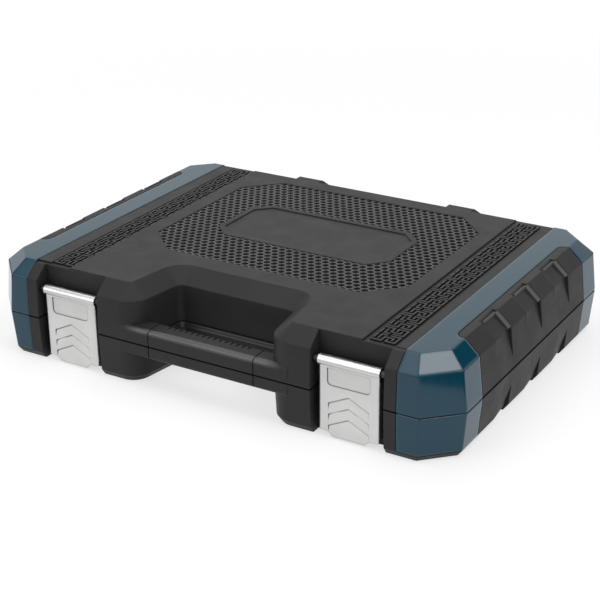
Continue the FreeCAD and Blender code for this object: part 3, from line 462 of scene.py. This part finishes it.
def moulded_plastic(name, colour, roughness, grain, strength, gloss, reach):
    """Matt moulded plastic with a fine eroded grain and painted shade in creases and gaps, in colour and
    gloss;
    shells also have painted shade along the parting line and the panel gaps, and a worn grip edge.
    """
    shell = name == SHELL_PLASTIC
    made, tree, surface = shader(name, colour, roughness)
    vector = coordinates(tree)
    low, high = shades(colour, PLASTIC_CHANGE)
    # Painted shade: occlusion darkens colour and gloss in creases and gaps; shells also get painted shade
    # along the parting line and the panel gaps
    level = occlusion_shade(tree, reach, GAP_SHADE_DEPTH)
    if shell:
        level = darkened(tree, level, seam_shade(tree, vector))
        level = darkened(tree, level, panel_gap_shade(tree, vector))
    mottled = tint(tree, noise(tree, vector, PLASTIC_BLOTCH), low, high)
    tree.links.new(darkened(tree, mottled, level), surface.inputs["Base Color"])
    shine = spread(tree, level, 0.0, gloss, (0.0, 1.0))
    uneven = noise(tree, vector, PLASTIC_UNEVEN)
    rough = spread(tree, uneven, roughness - PLASTIC_ROUGHER, roughness + PLASTIC_ROUGHER)
    if shell:
        wear_and_shade = on_grip_edge(tree, vector)
        shine = reckon(tree, "ADD", shine, reckon(tree, "MULTIPLY", wear_and_shade, WORN_GLOSS))
        rough = reckon(tree, "SUBTRACT", rough, reckon(tree, "MULTIPLY", wear_and_shade, WORN_SMOOTHER))
    tree.links.new(shine, surface.inputs["Specular IOR Level"])
    tree.links.new(rough, surface.inputs["Roughness"])
    soft = SHELL_SOFT if shell else 0.0
    eroded = noise(tree, vector, grain, PLASTIC_GRAIN_DETAIL)
    bump(tree, surface, eroded, strength, PLASTIC_BUMP, soft)
    return made


def gloss_plastic(name, colour, roughness):
    """Polished moulding with a faint waviness and fine wiping marks in its gloss, and painted shade in its
    colour and gloss in gaps and along the gaps round the side panels.
    """
    made, tree, surface = shader(name, colour, roughness)
    vector = coordinates(tree)
    low, high = shades(colour, CAP_CHANGE)
    # Painted shade: occlusion and the panel gap line darken colour and gloss
    level = darkened(tree, occlusion_shade(tree, GAP_REACH, GAP_SHADE_DEPTH), panel_gap_shade(tree, vector))
    mottled = tint(tree, noise(tree, vector, CAP_BLOTCH), low, high)
    tree.links.new(darkened(tree, mottled, level), surface.inputs["Base Color"])
    shine = spread(tree, level, 0.0, CAP_GLOSS, (0.0, 1.0))
    tree.links.new(shine, surface.inputs["Specular IOR Level"])
    marks = noise(tree, coordinates(tree, CAP_MARK_STRETCH), CAP_MARKS, CAP_MARK_DETAIL)
    rough = spread(tree, marks, roughness - CAP_SMOOTHER, roughness + CAP_ROUGHER)
    tree.links.new(rough, surface.inputs["Roughness"])
    waves = noise(tree, vector, CAP_WAVES, CAP_WAVE_DETAIL)
    bump(tree, surface, waves, CAP_WAVE_STRENGTH, CAP_BUMP, CAP_SOFT)
    return made


def metal(name, colour, roughness, grain_scale, strength, reach, edge):
    """Metal with a drawn or brushed grain and painted shade in creases and, when edge is set, along outer
    edges;
    grain_scale stretches the grain along an axis.
    """
    made, tree, surface = shader(name, colour, roughness, 1.0)
    vector = coordinates(tree, grain_scale)
    streaks = noise(tree, vector, METAL_GRAIN)
    low, high = shades(colour, METAL_CHANGE)
    mottled = tint(tree, noise(tree, coordinates(tree), METAL_BLOTCH), low, high)
    # Painted shade: occlusion darkens the colour in creases, and along outer edges when edge is set
    wear_and_shade = darkened(tree, mottled, occlusion_shade(tree, reach, CREASE_SHADE_DEPTH))
    if edge:
        wear_and_shade = darkened(tree, wear_and_shade, occlusion_shade(tree, edge, CREASE_SHADE_DEPTH, True))
    tree.links.new(wear_and_shade, surface.inputs["Base Color"])
    rough = spread(tree, streaks, roughness - METAL_ROUGHER, roughness + METAL_ROUGHER)
    tree.links.new(rough, surface.inputs["Roughness"])
    bump(tree, surface, streaks, strength, METAL_BUMP)
    return made


def make_materials():
    """Every material by its name."""
    made = {row[0]: moulded_plastic(*row) for row in PLASTICS}
    made["cap_plastic"] = gloss_plastic("cap_plastic", CAP_BLUE, CAP_ROUGHNESS)
    made.update({row[0]: metal(*row) for row in METALS})
    return made


def finish_nodes(materials):
    """Give every modelled node its material and rounded edges."""
    for part in frame["record"]["subparts"]:
        piece = nodes[part["node"]]
        piece.data.materials.clear()
        piece.data.materials.append(materials[part["material_slot"]])
        round_edges(piece, EDGE_WIDTHS.get(part["node"], DEFAULT_EDGE))


def place_key(edge):
    return frozenset(tuple(round(c, PLACE_DIGITS) for c in v.co) for v in edge.verts)


def mark_folds(piece):
    """Keep shallow folds between large flat faces crisp, without touching the shape."""
    whole = bmesh.new()
    whole.from_mesh(piece.data)
    bmesh.ops.remove_doubles(whole, verts=whole.verts, dist=WELD_DISTANCE)
    low, high = FOLD_ANGLES
    folds = set()
    for edge in whole.edges:
        if len(edge.link_faces) == 2 and min(f.calc_area() for f in edge.link_faces) > FOLD_FACE:
            if low < edge.calc_face_angle() < high:
                folds.add(place_key(edge))
    whole.free()
    loose = bmesh.new()
    loose.from_mesh(piece.data)
    for edge in loose.edges:
        if place_key(edge) in folds:
            edge.smooth = False
    loose.to_mesh(piece.data)
    loose.free()


def round_edges(piece, width):
    """Round the edges of a modelled piece by modifiers, with clean shading on its flat faces."""
    piece.data.shade_smooth()
    mark_folds(piece)
    weld = piece.modifiers.new("weld", "WELD")
    weld.merge_threshold = WELD_DISTANCE
    flat = piece.modifiers.new("flat_faces", "DECIMATE")
    flat.decimate_type = "DISSOLVE"
    flat.angle_limit = FLAT_ANGLE
    edge = piece.modifiers.new("edges", "BEVEL")
    edge.limit_method = "ANGLE"
    edge.angle_limit = EDGE_ANGLE
    edge.width = width
    edge.segments = EDGE_STEPS
    normals = piece.modifiers.new("normals", "WEIGHTED_NORMAL")
    normals.keep_sharp = True


# New pieces

def new_object(name, bm, material):
    """Object in the scene from a mesh under construction."""
    data = bpy.data.meshes.new(name)
    bm.to_mesh(data)
    bm.free()
    made = bpy.data.objects.new(name, data)
    data.materials.append(material)
    bpy.context.scene.collection.objects.link(made)
    return made


def add_piece(name, bm, material, body):
    """Visible piece with its material that rides on a body."""
    piece = new_object(name, bm, material)
    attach(piece, body)
    return piece


def stroke_outline(points, half):
    """Closed outline of a flat stroke of right-angled runs; its square ends reach half a width further."""
    left = []
    right = []
    for i, point in enumerate(points):
        before = (point - points[i - 1]).normalized() if i else None
        after = (points[i + 1] - point).normalized() if i + 1 < len(points) else None
        first = before if before is not None else after
        second = after if after is not None else before
        normal = Vector((-first.y, first.x))
        other = Vector((-second.y, second.x))
        offset = normal if normal.dot(other) > 0.5 else normal + other
        along = Vector((0, 0))
        if before is None:
            along = -after
        elif after is None:
            along = before
        left.append(point + (offset + along) * half)
        right.append(point + (along - offset) * half)
    return left + right[::-1]


def add_layers(bm, layers, close_first=True):
    """Loft between rings of points with equal counts and close the last ring, and the first if asked."""
    rings = [[bm.verts.new(p) for p in ring] for ring in layers]
    for low, high in zip(rings, rings[1:]):
        for i in range(len(low)):
            j = (i + 1) % len(low)
            bm.faces.new((low[i], low[j], high[j], high[i]))
    bm.faces.new(rings[-1])
    if close_first:
        bm.faces.new(rings[0][::-1])


def make_tread(side, name, materials):
    """Interlocking raised strokes in one strip of the lid; side is 1 on the right and -1 on the left."""
    bm = bmesh.new()
    inner, outer = TREAD_SPANS[side]
    start = inner + TREAD_STROKE / 2
    column = (outer - inner - TREAD_STROKE) / (TREAD_COLUMNS - 1)
    rows = TREAD_BLOCKS * TREAD_ROWS
    row = (2 * TREAD_HALF_LENGTH - TREAD_STROKE) / (rows - 1)
    first_y = CASE_MIDDLE_Y - TREAD_HALF_LENGTH + TREAD_STROKE / 2
    high = LID_TOP - TREAD_BELOW_TOP
    levels = (
        (TREAD_STROKE / 2, LID_TOP - TREAD_FLOOR),
        (TREAD_STROKE / 2, high - TREAD_CHAMFER),
        (TREAD_STROKE / 2 - TREAD_CHAMFER, high),
    )
    for block in range(TREAD_BLOCKS):
        for stroke in TREAD_STROKES:
            points = []
            for u, v in stroke:
                turned = TREAD_ROWS - 1 - v if block % 2 else v
                at = block * TREAD_ROWS + turned
                points.append(Vector((side * (start + u * column), first_y + at * row)))
            add_layers(bm, [[(p.x, p.y, z) for p in stroke_outline(points, half)] for half, z in levels])
    bmesh.ops.recalc_face_normals(bm, faces=bm.faces)
    add_piece(name, bm, materials["tread_plastic"], "lid")


def make_border(side, name, materials):
    """Raised border between one tread and the cap, with sloping edges."""
    bm = bmesh.new()
    inner = TREAD_SPANS[side][1] + BORDER_GAP
    floor = LID_TOP - TREAD_FLOOR
    top = floor + BORDER_HEIGHTS[side]
    levels = ((0.0, floor), (0.0, top - BORDER_EDGE), (BORDER_EDGE, top))
    layers = []
    for inset, z in levels:
        low, high = inner + inset, BORDER_OUTER - inset
        half = BORDER_HALF_LENGTH - inset
        corners = ((low, -half), (high, -half), (high, half), (low, half))
        layers.append([(side * x, y + CASE_MIDDLE_Y, z) for x, y in corners])
    add_layers(bm, layers)
    bmesh.ops.recalc_face_normals(bm, faces=bm.faces)
    add_piece(name, bm, materials["case_plastic"], "lid")


def inside_octagon(x, y, half, y_range, cut, grow):
    """Whether a point lies in a rectangle with cut corners that is grown all round."""
    low, high = y_range[0] - grow, y_range[1] + grow
    wide = half + grow
    corner = cut + (2 - math.sqrt(2)) * grow
    if not (abs(x) < wide and low < y < high):
        return False
    return (wide - abs(x)) + min(y - low, high - y) > corner


def ring_of_eight(x, y, wide, deep, shoulder, z):
    """Eight points round a place: left and right ends, middles and shoulders of the far and near sides."""
    half = [(wide, 0), (shoulder, deep), (0, deep), (-shoulder, deep)]
    return [(x + u, y + v, z) for u, v in half] + [(x - u, y - v, z) for u, v in half]


def add_cell(bm, x, y):
    """One cell of the knurl: a flat net face round a lens-shaped dimple with sloping sides."""
    top = LID_TOP - CELL_BELOW_TOP
    depth = FIELD_FLOOR - CELL_BELOW_TOP
    layers = [ring_of_eight(x, y, CELL_PITCH / 2, CELL_ROW / 2, CELL_PITCH / 2, top)]
    for share, drop in CELL_LEVELS:
        wide, deep = CELL_HALF[0] * share, CELL_HALF[1] * share
        layers.append(ring_of_eight(x, y, wide, deep, wide * CELL_SHOULDER, top - drop * depth))
    add_layers(bm, layers, False)


def make_knurl(materials):
    """Net of staggered lens-shaped dimples in the field round the plate."""
    bm = bmesh.new()
    rows = int((FIELD_Y[1] - FIELD_Y[0]) / CELL_ROW) + 2
    half_count = int(FIELD_HALF / CELL_PITCH) + 1
    for row in range(rows):
        y = FIELD_Y[0] + row * CELL_ROW
        for i in range(-half_count, half_count + 1):
            x = (i + 0.5 * (row % 2)) * CELL_PITCH
            in_field = inside_octagon(x, y, FIELD_HALF, FIELD_Y, FIELD_CUT, CELL_OVER)
            in_plate = inside_octagon(x, y, PLATE_HALF, PLATE_Y, PLATE_CUT, -CELL_OVER)
            if in_field and not in_plate:
                add_cell(bm, x, y + CASE_MIDDLE_Y)
    bmesh.ops.remove_doubles(bm, verts=bm.verts, dist=WELD_DISTANCE)
    knurl = add_piece("lid_knurl", bm, materials["smooth_plastic"], "lid")
    sheet = knurl.modifiers.new("sheet", "SOLIDIFY")
    sheet.thickness = CELL_SHEET
    sheet.offset = -1.0


def make_rib_bars(side, name, materials):
    """Bars at the foot of the side ribs on the lid's shoulder, each with a rim before its head, in a paler
    grey that paints the highlight on their tops.
    """
    bm = bmesh.new()
    start = Vector((SHOULDER_TOP[0], 0, SHOULDER_TOP[1]))
    run = Vector((SHOULDER_LOW[0], 0, SHOULDER_LOW[1])) - start
    rise = Vector((-run.z, 0, run.x)).normalized()
    for edge in RIB_EDGES:
        layers = []
        for share in BAR_SPAN:
            ring = []
            for behind, height in BAR_SECTION:
                spot = start + run * share + rise * (height * MM)
                ring.append((side * spot.x, edge + behind * MM + CASE_MIDDLE_Y, spot.z))
            layers.append(ring)
        add_layers(bm, layers)
        rims = []
        for before in RIM_SPAN:
            y = edge + before + CASE_MIDDLE_Y
            rims.append([(side * (start.x + x * MM), y, start.z + z * MM) for x, z in RIM_SECTION])
        add_layers(bm, rims)
    bmesh.ops.recalc_face_normals(bm, faces=bm.faces)
    add_piece(name, bm, materials["bar_highlight_plastic"], "lid")


def recess_path():
    """Points along the recess wall from the left round the back, each with its way into the recess."""
    lean = math.atan(RECESS_SLANT)
    reach = RECESS_CORNER * math.tan((math.pi / 2 - lean) / 2)
    middle = Vector((RECESS_HALF - reach, RECESS_BACK - RECESS_CORNER))
    half = []
    for i in range(CORNER_STEPS + 1):
        turn = math.pi / 2 + (lean - math.pi / 2) * i / CORNER_STEPS
        out = Vector((math.cos(turn), math.sin(turn)))
        half.append((middle + out * RECESS_CORNER, -out))
    mouth = RECESS_HALF + RECESS_SLANT * (RECESS_BACK - RECESS_START)
    half.append((Vector((mouth, RECESS_START)), half[-1][1]))
    left = [(Vector((-p.x, p.y)), Vector((-n.x, n.y))) for p, n in reversed(half)]
    return left + half


def make_recess_lip(materials):
    """Lip of the base that stands up inside the lid's wall round the handle recess."""
    bm = bmesh.new()
    rings = []
    for place, into in recess_path():
        ring = []
        for ahead, height in LIP_SECTION:
            spot = place + into * (ahead * MM)
            ring.append((spot.x, spot.y + CASE_MIDDLE_Y, height * MM))
        rings.append(ring)
    add_layers(bm, rings)
    bmesh.ops.recalc_face_normals(bm, faces=bm.faces)
    add_piece("base_recess_lip", bm, materials["smooth_plastic"], "base")


# Stage

def seen_directly(tree):
    """One for camera rays and for what reflections and clear surfaces show, else nothing."""
    path = tree.nodes.new("ShaderNodeLightPath").outputs
    seen = reckon(tree, "MAXIMUM", path["Is Camera Ray"], path["Is Glossy Ray"])
    return reckon(tree, "MAXIMUM", seen, path["Is Transmission Ray"])


def make_floor():
    """Pale floor that keeps the case's shadow and fades to plain white away from it."""
    made, tree, surface = shader("floor", FLOOR_COLOUR, FLOOR_ROUGHNESS)
    vector = coordinates(tree)
    low, high = shades(FLOOR_COLOUR, FLOOR_CHANGE)
    blotches = noise(tree, vector, FLOOR_BLOTCH)
    tree.links.new(tint(tree, blotches, low, high), surface.inputs["Base Color"])
    distance = tree.nodes.new("ShaderNodeVectorMath")
    distance.operation = "LENGTH"
    tree.links.new(vector, distance.inputs[0])
    far = spread(tree, distance.outputs["Value"], FLOOR_WHITE_NEAR, 1.0, FLOOR_WHITE)
    share = reckon(tree, "MULTIPLY", far, seen_directly(tree))
    white = tree.nodes.new("ShaderNodeEmission")
    mix = tree.nodes.new("ShaderNodeMixShader")
    tree.links.new(share, mix.inputs["Fac"])
    tree.links.new(surface.outputs["BSDF"], mix.inputs[1])
    tree.links.new(white.outputs["Emission"], mix.inputs[2])
    tree.links.new(mix.outputs["Shader"], tree.nodes["Material Output"].inputs["Surface"])
    bm = bmesh.new()
    bmesh.ops.create_grid(bm, x_segments=2, y_segments=2, size=FLOOR_SIZE / 2)
    floor = new_object("floor", bm, made)


def make_card(name, quads, colour):
    """Flat card of four-sided faces that only reflections show, for gloss and metal to mirror."""
    made, _, surface = shader(name, colour, 1.0)
    surface.inputs["Specular IOR Level"].default_value = 0.0
    bm = bmesh.new()
    for quad in quads:
        bm.faces.new([bm.verts.new(p) for p in quad])
    card = new_object(name, bm, made)
    card.visible_camera = False
    card.visible_diffuse = False
    card.visible_shadow = False


def square(middle, side, up):
    """Corners of a square from its middle and its two half edges."""
    return [middle - side - up, middle + side - up, middle + side + up, middle - side + up]


def make_cards():
    across, away, up = Vector((1, 0, 0)), Vector((0, 1, 0)), Vector((0, 0, 1))
    for name, place, half in FLAGS:
        side = up.cross(place).normalized()
        rise = place.cross(side).normalized()
        make_card(name, [square(place, side * half, rise * half)], CARD_COLOUR)
    outer = square(up * TABLE_HEIGHT, across * TABLE_HALF, away * TABLE_HALF)
    inner = square(up * TABLE_HEIGHT, across * SHEET_HALF[0], away * SHEET_HALF[1])
    frame_of_four = [(outer[i], outer[(i + 1) % 4], inner[(i + 1) % 4], inner[i]) for i in range(4)]
    make_card("table", frame_of_four, CARD_COLOUR)


def make_world():
    """White surroundings for the camera and reflections, and a lower level for soft light."""
    world = bpy.data.worlds.new("surroundings")
    bpy.context.scene.world = world
    world.use_nodes = True
    tree = world.node_tree
    level = spread(tree, seen_directly(tree), SURROUND_LIGHT, 1.0, (0.0, 1.0))
    background = tree.nodes["Background"]
    background.inputs["Color"].default_value = (1, 1, 1, 1)
    tree.links.new(level, background.inputs["Strength"])


def make_lamps():
    for name, place, target, size, power in LAMPS:
        lamp = bpy.data.lights.new(name, "AREA")
        lamp.size = size
        lamp.energy = power
        holder = bpy.data.objects.new(name, lamp)
        holder.location = place
        holder.rotation_euler = (Vector(target) - Vector(place)).to_track_quat("-Z", "Y").to_euler()
        bpy.context.scene.collection.objects.link(holder)


def make_camera():
    back = Vector((
        math.sin(CAMERA_AZIMUTH) * math.cos(CAMERA_ELEVATION),
        -math.cos(CAMERA_AZIMUTH) * math.cos(CAMERA_ELEVATION),
        math.sin(CAMERA_ELEVATION),
    ))
    right = Vector((0, 0, 1)).cross(back).normalized()
    up = back.cross(right)
    turned_right = right * math.cos(CAMERA_ROLL) + up * math.sin(CAMERA_ROLL)
    turned_up = up * math.cos(CAMERA_ROLL) - right * math.sin(CAMERA_ROLL)
    lens = bpy.data.cameras.new("camera")
    lens.lens = CAMERA_LENS
    lens.sensor_width = SENSOR
    camera = bpy.data.objects.new("camera", lens)
    pose = Matrix((turned_right, turned_up, back)).transposed().to_4x4()
    pose.translation = CAMERA_AT
    camera.matrix_world = pose
    bpy.context.scene.collection.objects.link(camera)
    bpy.context.scene.camera = camera


def main():
    materials = make_materials()
    finish_nodes(materials)
    make_tread(1, "lid_tread_right", materials)
    make_tread(-1, "lid_tread_left", materials)
    make_border(1, "lid_border_right", materials)
    make_border(-1, "lid_border_left", materials)
    make_rib_bars(1, "lid_rib_bars_right", materials)
    make_rib_bars(-1, "lid_rib_bars_left", materials)
    make_knurl(materials)
    make_recess_lip(materials)
    make_floor()
    make_cards()
    make_world()
    make_lamps()
    make_camera()
    bpy.context.scene.view_settings.view_transform = "Standard"
    bpy.context.view_layer.update()


main()
